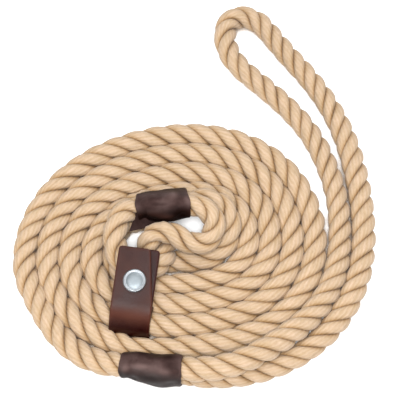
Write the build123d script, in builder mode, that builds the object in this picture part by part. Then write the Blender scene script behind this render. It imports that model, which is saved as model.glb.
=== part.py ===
from build123d import *
import os
from math import cos, pi, radians, sin, tan

# Rope slip lead lying coiled on a flat surface. Millimetres, +Z up.
# One three-strand rope runs from its end in the handle whipping, round the handle loop,
# through that whipping again, inwards round a flat oval coil, through the small eye as a
# tight noose, and through the eye whipping into the eye itself. A leather stop is folded
# round the second turn of the coil and closed by one rivet.

os.makedirs("parts", exist_ok=True)

# Rope
rope_diameter = 9.3
rope_radius = rope_diameter / 2

# Flat oval coil, wound inwards from its left end
coil_centre = (-7.5, -25.7)
coil_tilt = 12.3
coil_half_length = 62.8
coil_half_width = 52.9
coil_pitch = 9.1
coil_turns = 4.0
coil_waves = [(3, 0.6, -0.35), (4, -0.6, -0.1)]
coil_edge_round = 3.0

# Leather whippings: centre and half sizes (across the two ropes, across one) of each section
sleeve_wall = 1.0
handle_sleeve = [
    ((-28.3, -79.2, 7.3), 5.7, 5.3),
    ((-23.6, -80.2, 8.4), 7.4, 5.5),
    ((-17.6, -81.5, 10.0), 9.4, 5.7),
    ((-11.5, -82.5, 10.9), 10.3, 5.8),
    ((-4.9, -83.0, 11.0), 10.4, 5.6),
]
handle_sleeve_stack = (0.0, -0.12, 1.0)
eye_sleeve = [
    ((-23.3, -13.9, 14.9), 5.7, 5.5),
    ((-18.6, -13.5, 15.5), 7.4, 5.7),
    ((-13.1, -13.7, 16.4), 9.3, 5.9),
    ((-7.4, -13.2, 16.7), 10.4, 5.9),
    ((-2.6, -12.6, 16.7), 10.8, 5.7),
]
eye_sleeve_stack = (0.0, -0.62, 0.78)
tail_corner = (-23.5, -17.1, 16.0)
tail_facing = (0.0, -0.65, 0.76)
tail_outline = [
    (0.0, 2.0),
    (-3.3, -7.6),
    (-0.5, -6.8),
    (4.5, -5.4),
    (9.0, -3.9),
    (13.2, -2.9),
    (15.7, -1.6),
    (15.7, 2.0),
]
tail_thickness = 1.6

# Leather stop: a strap folded round the rope, its two layers lying together as a sloping tab
leather = 1.6
strap_width = 16.4
strap_taper_angle = 9.5
strap_foot_slope = 52.0
strap_foot_length = 7.1
strap_tab_slope = 19.0
strap_tab_length = 26.1
strap_bend_radius = 14.0
stop_position = (-25.4, -59.7)
stop_angle = -8.5
rope_clearance = 0.3
window_margin = 0.8
swing_margin = 2.2
floor_gap = 0.1

# Rivet through both layers of the stop
rivet_distance = 12.8
cap_diameter = 9.3
cap_height = 1.7
cap_round = 1.0
cap_grip = 0.9
post_diameter = 3.2
foot_diameter = 5.6
foot_height = 0.5

# Rope centre line where it isn't coiled: handle loop, from the rope's end inwards
handle_points = [
    (-12.5, -81.2, 5.8),
    (-4.2, -82.2, 5.8),
    (6.8, -83.2, 4.7),
    (21.8, -82.1, 4.7),
    (37.0, -76.8, 4.7),
    (49.9, -68.0, 4.7),
    (59.6, -56.0, 4.7),
    (66.2, -42.0, 4.7),
    (69.3, -26.9, 4.7),
    (69.5, -11.0, 4.7),
    (67.7, 5.7, 4.7),
    (64.2, 22.3, 4.7),
    (58.1, 38.2, 4.7),
    (49.5, 52.5, 4.7),
    (39.8, 64.8, 4.7),
    (33.7, 73.6, 4.7),
    (28.9, 80.4, 4.7),
    (22.1, 84.5, 4.7),
    (15.7, 82.8, 4.7),
    (12.9, 77.3, 4.7),
    (13.1, 70.6, 4.7),
    (15.5, 63.4, 4.7),
    (20.7, 56.6, 4.7),
    (29.5, 48.6, 4.7),
    (40.5, 37.5, 4.7),
    (49.2, 25.6, 4.7),
    (55.0, 12.3, 4.7),
    (58.9, -2.2, 4.7),
    (60.0, -17.4, 4.7),
    (58.7, -32.2, 4.9),
    (54.6, -45.8, 6.2),
    (47.2, -57.4, 8.4),
    (37.8, -67.3, 11.2),
    (26.7, -75.8, 13.8),
    (15.7, -81.6, 15.2),
    (5.2, -83.9, 15.6),
    (-4.5, -83.6, 15.4),
    (-12.7, -82.4, 14.8),
    (-20.1, -80.8, 11.7),
    (-27.7, -79.2, 7.4),
    (-37.1, -77.4, 5.4),
    (-46.5, -73.2, 4.7),
    (-53.9, -66.2, 4.7),
    (-59.5, -58.2, 4.7),
    (-64.3, -49.4, 4.7),
]

# The tight noose: on from the coil, once round inside it, then over itself
noose_points = [
    (-33.7, -24.6, 4.7),
    (-30.9, -18.3, 4.7),
    (-24.9, -14.8, 4.7),
    (-18.0, -15.3, 4.7),
    (-12.7, -20.0, 5.2),
    (-10.7, -27.2, 8.2),
    (-11.1, -34.0, 12.0),
    (-14.7, -38.9, 13.9),
    (-21.0, -41.1, 14.0),
    (-27.7, -39.6, 14.0),
    (-32.2, -34.1, 14.1),
    (-33.3, -26.9, 14.4),
    (-32.0, -20.2, 14.7),
    (-28.1, -15.0, 14.9),
    (-22.1, -13.0, 14.5),
    (-14.8, -11.7, 13.2),
    (-7.3, -10.8, 12.3),
    (-1.1, -9.2, 12.1),
]

# The eye: outer leg, closed end over the noose, inner leg back into the whipping
eye_points = [
    (-1.1, -8.0, 12.0),
    (4.5, -8.4, 12.0),
    (9.9, -10.0, 11.9),
    (13.7, -14.4, 11.0),
    (14.8, -20.6, 9.2),
    (12.8, -27.0, 7.0),
    (7.6, -31.7, 5.6),
    (0.8, -33.4, 5.1),
    (-6.1, -34.0, 4.7),
    (-12.8, -34.0, 5.1),
    (-17.7, -33.2, 8.0),
    (-18.9, -29.8, 13.2),
    (-15.7, -26.9, 17.4),
    (-9.7, -27.0, 18.4),
    (-4.2, -29.4, 16.8),
    (1.4, -31.0, 16.0),
    (6.3, -29.0, 16.8),
    (8.4, -23.8, 18.6),
    (6.5, -18.4, 20.4),
    (0.9, -15.6, 21.2),
    (-5.9, -15.2, 20.9),
    (-12.5, -16.2, 20.2),
]


def coil_point(turn):
    """Centre of the rope after this many turns, from the coil's left end inwards."""
    angle = 2 * pi * turn
    uneven = sum(a * cos(k * angle) + b * sin(k * angle) for k, a, b in coil_waves)
    along = -(coil_half_length - coil_pitch * turn + uneven) * cos(angle)
    across = (coil_half_width - coil_pitch * turn + uneven) * sin(angle)
    tilt = radians(coil_tilt)
    x = coil_centre[0] + along * cos(tilt) - across * sin(tilt)
    y = coil_centre[1] + along * sin(tilt) + across * cos(tilt)
    return Vector(x, y, rope_radius)


def bend_radii(name, points):
    """Largest tangent arc at each corner of a rope route; printed so that they can be read."""
    corners = [Vector(*point) for point in points]
    radii = []
    for before, here, after in zip(corners, corners[1:], corners[2:]):
        turn = (here - before).get_angle(after - here)
        shorter = min((here - before).length, (after - here).length)
        radii.append(0.45 * shorter / tan(radians(turn) / 2))
    print(name, "bend radii", [round(radius, 1) for radius in radii])
    return radii


def report_tube(name, tube, path):
    """Compare a rope tube's volume with its section times its length."""
    path_length = sum(edge.length for edge in path.edges())
    expected = pi * rope_radius**2 * path_length
    print(name, "length", round(path_length, 1), "volume ratio", round(tube.volume / expected, 4))


def across(line, end):
    """Plane across a rope route at its start (0) or end (1)."""
    return Plane(origin=line @ end, z_dir=line % end)


def sleeve_planes(sections, stack):
    """Planes across a whipping, each with its X along the line between the two ropes."""
    centres = [Vector(*centre) for centre, _, _ in sections]
    planes = []
    for index, centre in enumerate(centres):
        before = centres[max(index - 1, 0)]
        after = centres[min(index + 1, len(centres) - 1)]
        axis = (after - before).normalized()
        long_side = Vector(*stack)
        long_side = (long_side - axis * long_side.dot(axis)).normalized()
        planes.append(Plane(origin=centre, x_dir=long_side, z_dir=axis))
    return planes


def strap_surface(depth):
    """Corners of the strap's foot and tab in the stop's profile, this far under its upper face."""
    foot = radians(strap_foot_slope)
    tab = radians(strap_tab_slope)
    reach = leather_outer - depth
    mitre = depth * tan((foot - tab) / 2)
    start = (-reach * sin(foot), stop_rope_height + reach * cos(foot))
    foot_length = strap_foot_length - mitre
    bend = (start[0] + foot_length * cos(foot), start[1] + foot_length * sin(foot))
    tab_length = strap_tab_length - mitre
    end = (bend[0] + tab_length * cos(tab), bend[1] + tab_length * sin(tab))
    return start, bend, end


# Rope: handle loop, both legs, as far as the coil
handle_route = [*handle_points, coil_point(0)]
with BuildPart() as rope_handle_loop:
    with BuildLine() as handle_path:
        FilletPolyline(*handle_route, radius=bend_radii("handle loop", handle_route))
    with BuildSketch(across(handle_path.line, 0)):
        Circle(rope_radius)
    sweep()
report_tube("handle loop", rope_handle_loop.part, handle_path.line)
rope_handle_loop.part.label = "rope_handle_loop"
export_step(rope_handle_loop.part, "parts/rope_handle_loop.step")

# Frame of the leather stop: X along the rope that it is folded round, Y towards the coil's middle
leather_outer = rope_radius + rope_clearance + leather
stop_rope_height = leather_outer + floor_gap
stop_plane = Plane(origin=(*stop_position, 0)).rotated((0, 0, stop_angle))
profile_plane = Plane(origin=stop_plane.origin, x_dir=stop_plane.y_dir, z_dir=stop_plane.x_dir)

# Rope: four turns of the coil as one flat oval ring, open round the leather stop
ring_shift = coil_pitch / 4
outer_length = coil_half_length - coil_pitch / 4 + rope_radius
outer_width = coil_half_width - coil_pitch / 2 + rope_radius
inner_length = coil_half_length - coil_pitch * (coil_turns - 0.25) - rope_radius
inner_width = coil_half_width - coil_pitch * (coil_turns - 0.5) - rope_radius
coil_plane = Plane(origin=(*coil_centre, 0)).rotated((0, 0, coil_tilt))
window_length = strap_width + 2 * window_margin
window_width = 2 * (leather_outer + swing_margin)
with BuildPart() as rope_coil:
    with BuildSketch(coil_plane):
        with Locations((-ring_shift, ring_shift)):
            Ellipse(outer_length, outer_width)
    extrude(amount=rope_diameter)
    fillet(rope_coil.edges().group_by(Axis.Z)[-1], coil_edge_round)
    with BuildSketch(coil_plane):
        with Locations((ring_shift, ring_shift)):
            Ellipse(inner_length, inner_width)
    extrude(amount=rope_diameter, mode=Mode.SUBTRACT)
    with BuildSketch(stop_plane):
        Rectangle(window_length, window_width)
    extrude(amount=rope_diameter, mode=Mode.SUBTRACT)
    with BuildSketch(profile_plane):
        with Locations((0, stop_rope_height)):
            Circle(rope_radius)
    extrude(amount=window_length / 2 + rope_radius, both=True)
rope_coil.part.label = "rope_coil"
export_step(rope_coil.part, "parts/rope_coil.step")

# Rope: the tight noose, from the coil's inner end to the eye whipping
noose_route = [coil_point(coil_turns), *noose_points]
with BuildPart() as rope_noose:
    with BuildLine() as noose_path:
        FilletPolyline(*noose_route, radius=bend_radii("noose", noose_route))
    with BuildSketch(across(noose_path.line, 0)):
        Circle(rope_radius)
    sweep()
report_tube("noose", rope_noose.part, noose_path.line)
rope_noose.part.label = "rope_noose"
export_step(rope_noose.part, "parts/rope_noose.step")

# Rope: the eye, with both of its legs held in the eye whipping
with BuildPart() as rope_eye:
    with BuildLine() as eye_path:
        FilletPolyline(*eye_points, radius=bend_radii("eye", eye_points))
    with BuildSketch(across(eye_path.line, 0)):
        Circle(rope_radius)
    sweep()
report_tube("eye", rope_eye.part, eye_path.line)
rope_eye.part.label = "rope_eye"
export_step(rope_eye.part, "parts/rope_eye.step")

# Leather whipping that holds both ends of the handle loop
with BuildPart() as handle_whipping:
    for plane, (_, half_long, half_short) in zip(
        sleeve_planes(handle_sleeve, handle_sleeve_stack), handle_sleeve
    ):
        with BuildSketch(plane):
            Ellipse(half_long, half_short)
    loft()
    for plane, (_, half_long, half_short) in zip(
        sleeve_planes(handle_sleeve, handle_sleeve_stack), handle_sleeve
    ):
        with BuildSketch(plane):
            Ellipse(half_long - sleeve_wall, half_short - sleeve_wall)
    loft(mode=Mode.SUBTRACT)
handle_whipping.part.label = "handle_whipping"
export_step(handle_whipping.part, "parts/handle_whipping.step")

# Leather whipping that holds both legs of the eye, with the loose end of its wrap
with BuildPart() as eye_whipping:
    for plane, (_, half_long, half_short) in zip(
        sleeve_planes(eye_sleeve, eye_sleeve_stack), eye_sleeve
    ):
        with BuildSketch(plane):
            Ellipse(half_long, half_short)
    loft()
    for plane, (_, half_long, half_short) in zip(
        sleeve_planes(eye_sleeve, eye_sleeve_stack), eye_sleeve
    ):
        with BuildSketch(plane):
            Ellipse(half_long - sleeve_wall, half_short - sleeve_wall)
    loft(mode=Mode.SUBTRACT)
    with BuildSketch(Plane(origin=tail_corner, x_dir=(1, 0, 0), z_dir=tail_facing)):
        Polygon(*tail_outline, align=None)
    extrude(amount=tail_thickness / 2, both=True)
eye_whipping.part.label = "eye_whipping"
export_step(eye_whipping.part, "parts/eye_whipping.step")

# Frame of the rivet: on the strap's upper face, Z straight out of the leather
tab_angle = radians(strap_tab_slope)
tab_bend = strap_surface(0)[1]
rivet_across = tab_bend[0] + rivet_distance * cos(tab_angle)
rivet_up = tab_bend[1] + rivet_distance * sin(tab_angle)
rivet_plane = Plane(
    origin=profile_plane.from_local_coords((rivet_across, rivet_up, 0)),
    x_dir=stop_plane.x_dir,
    z_dir=stop_plane.z_dir * cos(tab_angle) - stop_plane.y_dir * sin(tab_angle),
)

# Leather stop: one strap folded round the rope, the end of its front layer cut narrower
strap_taper = strap_tab_length * tan(radians(strap_taper_angle))
with BuildPart() as stop_strap:
    with BuildSketch(profile_plane):
        with Locations((0, stop_rope_height)):
            Circle(leather_outer)
        with BuildLine():
            front = FilletPolyline(*strap_surface(0), radius=strap_bend_radius)
            under = FilletPolyline(*strap_surface(leather), radius=strap_bend_radius - leather)
            Line(front @ 1, under @ 1)
            Line(front @ 0, under @ 0)
        make_face()
        with Locations((0, stop_rope_height)):
            Circle(rope_radius + rope_clearance, mode=Mode.SUBTRACT)
    extrude(amount=strap_width / 2, both=True)
    with BuildSketch(stop_plane):
        Polygon(
            (strap_width / 2, leather_outer),
            (strap_width / 2, leather_outer + strap_tab_length),
            (strap_width / 2 - strap_taper, leather_outer + strap_tab_length),
            align=None,
        )
    extrude(amount=2 * strap_tab_length, mode=Mode.SUBTRACT)
    with BuildSketch(profile_plane):
        with BuildLine():
            middle = FilletPolyline(*strap_surface(leather), radius=strap_bend_radius - leather)
            back = FilletPolyline(*strap_surface(2 * leather), radius=strap_bend_radius - 2 * leather)
            Line(middle @ 1, back @ 1)
            Line(middle @ 0, back @ 0)
        make_face()
        with Locations((0, stop_rope_height)):
            Circle(rope_radius + rope_clearance, mode=Mode.SUBTRACT)
    extrude(amount=strap_width / 2, both=True)
    with BuildSketch(rivet_plane):
        Circle(post_diameter / 2)
    extrude(amount=-3 * leather, mode=Mode.SUBTRACT)
stop_strap.part.label = "stop_strap"
export_step(stop_strap.part, "parts/stop_strap.step")

# Rivet cap: a low dome with a flat rim, hollow where it grips the post
with BuildPart() as rivet_cap:
    with BuildSketch(rivet_plane):
        Circle(cap_diameter / 2)
    extrude(amount=cap_height)
    fillet(rivet_cap.faces().sort_by(Axis(rivet_plane.origin, rivet_plane.z_dir))[-1].edges(), cap_round)
    with BuildSketch(rivet_plane):
        Circle(post_diameter / 2)
    extrude(amount=cap_grip, mode=Mode.SUBTRACT)
rivet_cap.part.label = "rivet_cap"
export_step(rivet_cap.part, "parts/rivet_cap.step")

# Rivet post: a pin through both layers of leather, with a flat foot underneath
with BuildPart() as rivet_post:
    with BuildSketch(rivet_plane.offset(-2 * leather - foot_height)):
        Circle(foot_diameter / 2)
    extrude(amount=foot_height)
    with BuildSketch(rivet_plane.offset(-2 * leather)):
        Circle(post_diameter / 2)
    extrude(amount=2 * leather + cap_grip)
rivet_post.part.label = "rivet_post"
export_step(rivet_post.part, "parts/rivet_post.step")

whole = Compound(
    children=[
        rope_handle_loop.part,
        rope_coil.part,
        rope_noose.part,
        rope_eye.part,
        handle_whipping.part,
        eye_whipping.part,
        stop_strap.part,
        rivet_cap.part,
        rivet_post.part,
    ]
)
box = whole.bounding_box()
print("whole from", box.min, "to", box.max, "centre", box.center())
print("stop hinge at", profile_plane.from_local_coords((0, stop_rope_height, 0)))
print("stop hinge along", stop_plane.x_dir)
print("stop end at", profile_plane.from_local_coords((*strap_surface(0)[2], 0)))
print("rivet at", rivet_plane.origin)
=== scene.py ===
import math

import bpy
import numpy as np
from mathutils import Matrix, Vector


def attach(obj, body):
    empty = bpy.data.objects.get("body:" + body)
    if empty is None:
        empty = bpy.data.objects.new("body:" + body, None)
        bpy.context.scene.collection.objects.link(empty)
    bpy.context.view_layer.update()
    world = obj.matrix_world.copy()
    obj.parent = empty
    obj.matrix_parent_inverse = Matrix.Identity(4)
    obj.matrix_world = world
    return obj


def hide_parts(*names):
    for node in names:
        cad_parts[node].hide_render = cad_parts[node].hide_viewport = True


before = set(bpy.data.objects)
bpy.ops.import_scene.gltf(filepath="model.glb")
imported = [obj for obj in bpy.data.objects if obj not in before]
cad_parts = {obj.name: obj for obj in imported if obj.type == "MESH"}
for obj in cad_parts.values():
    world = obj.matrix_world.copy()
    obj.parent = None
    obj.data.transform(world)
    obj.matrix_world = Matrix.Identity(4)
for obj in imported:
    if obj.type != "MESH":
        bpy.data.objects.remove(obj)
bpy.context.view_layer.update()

# Rope slip lead lying coiled on a pale floor. Metres, +Z up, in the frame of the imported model.

for name in ("Cube", "Light", "Camera"):
    leftover = bpy.data.objects.get(name)
    if leftover is not None:
        bpy.data.objects.remove(leftover)

MM = 0.001

# ---------------------------------------------------------------- driving sizes

ROPE_DIAMETER = 9.3 * MM
ROPE_RADIUS = ROPE_DIAMETER / 2
ROPE_LAY = 26 * MM
STRANDS = 3
STRAND_OFFSET = 0.258 * ROPE_DIAMETER
STRAND_ACROSS = 0.246 * ROPE_DIAMETER
STRAND_ALONG = 0.312 * ROPE_DIAMETER
STRAND_FULLNESS = 2.08
HANDLE_LAY = 23.2 * MM
HANDLE_LENGTH = 545 * MM
HANDLE_LAY_FADE = 40 * MM
SQUASH = 0.085
SQUASH_RANGE, SQUASH_FADE = (60 * MM, 1500 * MM), 20 * MM
SQUASH_GAP, SQUASH_GAP_FADE = (150 * MM, 385 * MM), 40 * MM
YARNS = 11
VERTS_PER_YARN = 4
YARN_DEPTH = 0.13 * MM
YARN_GRAIN_LENGTH = 7 * MM
DEPTH_FROM = 0.55
STRAND_WANDER, STRAND_WANDER_EVERY = 0.05, 61 * MM
STRAND_LOOSENESS, STRAND_LOOSENESS_EVERY = 0.025, 37 * MM
RING_STEP = 1.0 * MM

# how much thinner or thicker the rope is: in the whippings, at the handle loop's tip, in the noose
SLEEVE_SQUEEZE, SLEEVE_FADE, SLEEVE_REACH = 0.12, 3 * MM, 13 * MM
TIP_SWELL, TIP_SWELL_PAST, TIP_SWELL_SPREAD = 0.06, 8 * MM, 16 * MM
NOOSE_SWELL, NOOSE_SWELL_SPREAD = 0.06, 18 * MM

# loose fibres on the rope's surface
FIBRES = 5000
FIBRE_TRIES = 6 * FIBRES
FIBRE_THICKNESS = 0.055 * MM
FIBRE_LENGTHS = (1.5 * MM, 4.5 * MM)
FIBRE_LIFT = 0.65 * MM
FIBRE_SWAY = 1.0 * MM
FIBRE_ROOT = 0.03 * MM
FIBRE_TAPER = 0.75
FIBRE_DEPTH = 0.9
FIBRE_RINGS, FIBRE_SIDES = 5, 3
FIBRE_OUTSIDE, FIBRE_UNDERSIDE = 0.92, -0.3
FIBRE_END_MARGIN, FIBRE_DIRECTION_STEPS = 6, 3
FIBRE_FLOOR_GAP = 0.1 * MM

COIL_CENTRE = (-7.5 * MM, -25.7 * MM)
COIL_TILT = math.radians(12.3)
COIL_HALF_LENGTH = 62.8 * MM
COIL_HALF_WIDTH = 52.9 * MM
COIL_PITCH = 9.1 * MM
COIL_WAVES = [(3, 0.6 * MM, -0.35 * MM), (4, -0.6 * MM, -0.1 * MM)]
COIL_TURNS = 4
COIL_POINTS_PER_TURN = 24
COIL_SWELL = 1.005
COIL_BULGES = [(0.66, 1.2 * MM), (1.66, 0.5 * MM)]
COIL_BULGE_SPREAD = 0.08

STOP_HINGE = (-25.4 * MM, -59.7 * MM, 6.65 * MM)
STOP_ANGLE = math.radians(-8.5)
STOP_TURN = 1.84
STOP_TURN_NEAR = 0.25
STOP_PRESS_FROM, STOP_PRESS_FADE = 11.5 * MM, 5 * MM
STOP_PRESS_OWN, STOP_PRESS_OUTER, STOP_PRESS_INNER = 0.7 * MM, -1.1 * MM, 1.4 * MM
LEATHER = 1.6 * MM
STRAP_WIDTH = 16.4 * MM
STRAP_TAPER_ANGLE = math.radians(9.5)
STRAP_FOOT_SLOPE = math.radians(52)
STRAP_FOOT = 7.1 * MM
STRAP_TAB_SLOPE = math.radians(19)
STRAP_TAB = 26.1 * MM
STRAP_BEND = 14 * MM
STRAP_CORNER = 0.55 * MM
STRAP_TAPER_FROM = 4 * MM
STRAP_RING_ARC = math.radians(262)
STRAP_RINGS, STRAP_SMOOTHING = 300, 6
STRAP_END_ROUND, STRAP_END_NARROW = 1.4 * MM, 1.2 * MM
STRAP_END_THIN, STRAP_END_THIN_REACH = 0.55, 0.5 * MM
STRAP_RIPPLE = 0.10 * MM
EDGE_WEAR, END_WEAR, WEAR_REACH = 0.9, 0.7, 0.5 * MM
# a lighter band where the strap bends round the rope: wear and a painted highlight
FOLD_WEAR_AND_HIGHLIGHT, FOLD_BAND_PAST, FOLD_BAND_SPREAD = 0.95, 0.5 * MM, 2.6 * MM
# painted shade: the strap darkens and reddens below its fold, round the rope
FOLD_SHADE_FROM, FOLD_SHADE_FADE = 3 * MM, 4 * MM
RING_INNER = ROPE_RADIUS + 0.3 * MM
RING_OUTER = RING_INNER + LEATHER

RIVET_DISTANCE = 12.8 * MM
CAP_RADIUS = 4.65 * MM
CAP_HEIGHT = 1.7 * MM
CAP_RIM = 0.6 * MM
CAP_RIM_HEIGHT = 0.62 * MM
CAP_MIDDLE = 0.70

# ---------------------------------------------------------------- rope route, in millimetres

HANDLE_POINTS = [
    (-12.5, -81.2, 5.8),
    (-4.2, -82.2, 5.8),
    (6.8, -83.2, 4.7),
    (21.8, -82.1, 4.7),
    (37.0, -76.8, 4.7),
    (49.9, -68.0, 4.7),
    (59.6, -56.0, 4.7),
    (66.2, -42.0, 4.7),
    (69.3, -26.9, 4.7),
    (69.5, -11.0, 4.7),
    (67.7, 5.7, 4.7),
    (64.2, 22.3, 4.7),
    (58.1, 38.2, 4.7),
    (49.5, 52.5, 4.7),
    (39.8, 64.8, 4.7),
    (33.7, 73.6, 4.7),
    (28.9, 80.4, 4.7),
    (22.1, 84.5, 4.7),
    (15.7, 82.8, 4.7),
    (12.9, 77.3, 4.7),
    (13.1, 70.6, 4.7),
    (15.5, 63.4, 4.7),
    (20.7, 56.6, 4.7),
    (29.5, 48.6, 4.7),
    (40.5, 37.5, 4.7),
    (49.2, 25.6, 4.7),
    (55.0, 12.3, 4.7),
    (58.9, -2.2, 4.7),
    (60.0, -17.4, 4.7),
    (58.9, -32.3, 4.9),
    (54.9, -46.0, 6.2),
    (47.6, -57.7, 8.4),
    (37.8, -67.3, 11.2),
    (26.7, -75.8, 13.8),
    (15.7, -81.6, 15.2),
    (5.2, -83.9, 15.6),
    (-4.5, -83.6, 15.4),
    (-12.7, -82.4, 14.8),
    (-20.1, -80.8, 11.7),
    (-27.7, -79.2, 7.4),
    (-37.1, -77.4, 5.4),
    (-46.5, -73.2, 4.7),
    (-53.9, -66.2, 4.7),
    (-59.5, -58.2, 4.7),
    (-64.3, -49.4, 4.7),
]
NOOSE_POINTS = [
    (-33.7, -24.6, 4.7),
    (-30.9, -18.3, 4.7),
    (-24.9, -14.8, 4.7),
    (-18.0, -15.3, 4.7),
    (-12.7, -20.0, 5.2),
    (-11.5, -27.8, 7.9),
    (-12.3, -34.9, 11.7),
    (-15.5, -39.3, 13.7),
    (-21.0, -41.1, 14.0),
    (-27.5, -39.6, 14.0),
    (-31.6, -34.1, 14.1),
    (-32.6, -26.9, 14.4),
    (-31.6, -20.2, 14.7),
    (-28.1, -15.0, 14.9),
    (-22.1, -13.0, 14.5),
    (-14.8, -11.7, 13.2),
    (-7.3, -10.8, 12.3),
    (-1.1, -9.2, 12.1),
]
EYE_POINTS = [
    (4.5, -8.4, 12.0),
    (9.9, -10.0, 11.9),
    (13.7, -14.4, 11.0),
    (14.8, -20.6, 9.2),
    (12.8, -27.0, 7.0),
    (7.6, -31.7, 5.6),
    (0.8, -33.4, 5.1),
    (-6.1, -33.2, 4.7),
    (-12.8, -33.4, 5.1),
    (-17.9, -32.6, 8.0),
    (-19.4, -29.0, 13.3),
    (-16.6, -25.9, 17.4),
    (-10.2, -26.1, 18.5),
    (-4.2, -29.4, 16.8),
    (1.4, -31.0, 16.0),
    (6.3, -29.0, 16.8),
    (8.4, -23.8, 18.6),
    (6.5, -18.4, 20.4),
    (0.9, -15.6, 21.2),
    (-5.9, -15.2, 20.9),
    (-12.5, -16.2, 20.2),
]

# ---------------------------------------------------------------- whippings

SLEEVE_ROWS, SLEEVE_COLUMNS = 150, 220
SLEEVE_WALL = 1.0 * MM
SLEEVE_END_ROUND = 0.8 * MM
SLEEVE_CREASE = 0.35 * MM
SLEEVE_EDGE_WAVE = 0.5 * MM
SLEEVE_CORNER_POWER = 0.92
SLEEVE_FLOOR_GAP = 0.15 * MM
SEAM_STEP, SEAM_FADE, SEAM_END, SEAM_SWAY = 0.55 * MM, 0.5, 2.4, 0.25
# the direction, across the whippings, in which their front lies, darkened with painted shade
SHADED_FRONT = (0, -0.90, -0.44)

# Sections in millimetres: centre, half size along the line between the two ropes, half size
# across it. The stack is the direction from the lower rope to the upper one.
HANDLE_SLEEVE = [
    ((-28.3, -79.2, 7.3), 5.7, 5.3),
    ((-23.6, -80.2, 8.4), 7.4, 5.5),
    ((-17.6, -81.5, 10.0), 9.4, 5.7),
    ((-11.5, -82.5, 10.9), 10.3, 5.8),
    ((-4.9, -83.0, 11.0), 10.4, 5.6),
]
HANDLE_STACK = (0.0, -0.12, 1.0)
EYE_SLEEVE = [
    ((-23.3, -13.9, 14.9), 5.7, 5.5),
    ((-18.6, -13.5, 15.5), 7.4, 5.7),
    ((-13.1, -13.7, 16.4), 9.3, 5.9),
    ((-7.4, -13.2, 16.7), 10.4, 5.9),
    ((-2.6, -12.6, 16.7), 10.8, 5.7),
]
EYE_STACK = (0.0, -0.62, 0.78)

# Bulges and dents in the leather: place along the whipping from 0 to 1, angle round it in degrees,
# spread along it, spread round it in degrees, height in millimetres
HANDLE_CRUMPLES = [
    (0.32, -35, 0.13, 28, 0.7),
    (0.62, -40, 0.12, 26, -0.9),
    (0.95, -35, 0.12, 30, 0.8),
    (0.16, 30, 0.10, 24, 0.7),
    (0.45, 16, 0.14, 13, 1.0),
    (0.58, 55, 0.13, 22, -0.8),
    (0.30, 75, 0.09, 20, -0.8),
    (0.80, 30, 0.10, 16, 0.7),
    (0.86, 85, 0.08, 22, -0.5),
    (0.63, 128, 0.18, 30, 0.8),
    (0.14, 110, 0.12, 30, -0.9),
    (0.50, 200, 0.20, 40, -0.6),
    (0.25, 250, 0.12, 30, 0.6),
]
EYE_CRUMPLES = [
    (0.34, 8, 0.16, 16, 0.9),
    (0.60, 22, 0.14, 13, 0.7),
    (0.50, -26, 0.20, 16, -0.8),
    (0.84, 28, 0.12, 28, -1.5),
    (0.93, -38, 0.07, 16, 0.5),
    (0.12, -55, 0.10, 26, -0.3),
    (0.16, 45, 0.11, 22, -1.2),
    (0.50, 62, 0.12, 18, 0.8),
    (0.72, -60, 0.10, 22, 0.7),
    (0.40, 180, 0.20, 40, -0.6),
]

# Loose end of the eye whipping's wrap, in millimetres
TAIL_CORNER = (-23.5, -17.1, 16.0)
TAIL_FACING = (0.0, -0.65, 0.76)
TAIL_LOWER_EDGE = [(-3.3, -7.6), (-0.5, -6.8), (4.5, -5.4), (9.0, -3.9), (13.2, -2.9), (15.7, -1.6)]
TAIL_TOP = 2.0
TAIL_WIDTH = 15.7
TAIL_THICKNESS = 1.4
TAIL_ROWS, TAIL_COLUMNS = 26, 40
# height, length between waves, seed
TAIL_RIPPLES = [(0.9, 14, 4), (0.25, 7, 9)]

# ---------------------------------------------------------------- colours and lights

# the rope's colour from its strands' inner side out to their crests; the darker tones towards the
# grooves are painted shade
ROPE_TONES_AND_GROOVE_SHADE = [
    (0.0, (0.150, 0.083, 0.034)),
    (0.38, (0.278, 0.180, 0.096)),
    (0.60, (0.350, 0.247, 0.155)),
    (0.82, (0.392, 0.290, 0.200)),
    (1.0, (0.412, 0.314, 0.230)),
]
FIBRE_STREAKS = [(0.28, (0.80, 0.77, 0.71)), (0.52, (1.0, 1.0, 1.0)), (0.75, (1.07, 1.07, 1.06))]
FIBRE_PATCHES = [(0.3, (0.88, 0.85, 0.76)), (0.7, (1.05, 1.02, 1.01))]
# painted shade: the rope darkens where other surfaces close in within this reach
CREVICE_SHADE_REACH = 3.6 * MM
CREVICE_SHADE_TONES = [(0.0, (0.34, 0.22, 0.12)), (0.35, (0.84, 0.78, 0.68)), (0.75, (1.0, 1.0, 1.0))]
# painted shade in the valleys between the yarns
YARN_VALLEY_SHADE = (0.90, 0.87, 0.80)
ROPE_FINISH = {
    "Roughness": 0.88,
    "Sheen Weight": 0.12,
    "Sheen Roughness": 0.5,
    "Specular IOR Level": 0.25,
}
WHIPPING_LEATHER = {
    "tones": [(0.015, 0.007, 0.006), (0.038, 0.021, 0.019), (0.074, 0.049, 0.045)],
    # tint of the painted shade
    "shade": (0.20, 0.13, 0.11),
    "roughness": 0.50,
    "specular": 0.06,
}
STRAP_LEATHER = {
    "tones": [(0.016, 0.003, 0.002), (0.024, 0.005, 0.003), (0.038, 0.011, 0.006)],
    "shade": (0.50, 0.15, 0.11),
    "roughness": 0.38,
    "specular": 0.30,
}
# painted shade: the whipping tail is darkened all over, to the tone of the shade under the whipping
TAIL_SHADE = 0.55
LEATHER_TONE_STOPS = (0.25, 0.5, 0.8)
LEATHER_GRAIN_SCALE, LEATHER_PORE_SCALE = 1900, 2600
PLATE_TONES = [(0.3, (0.22, 0.25, 0.27)), (0.7, (0.28, 0.31, 0.33))]
# painted highlight on the cap's rim
PLATE_RIM_HIGHLIGHT = (0.36, 0.38, 0.40)
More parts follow.
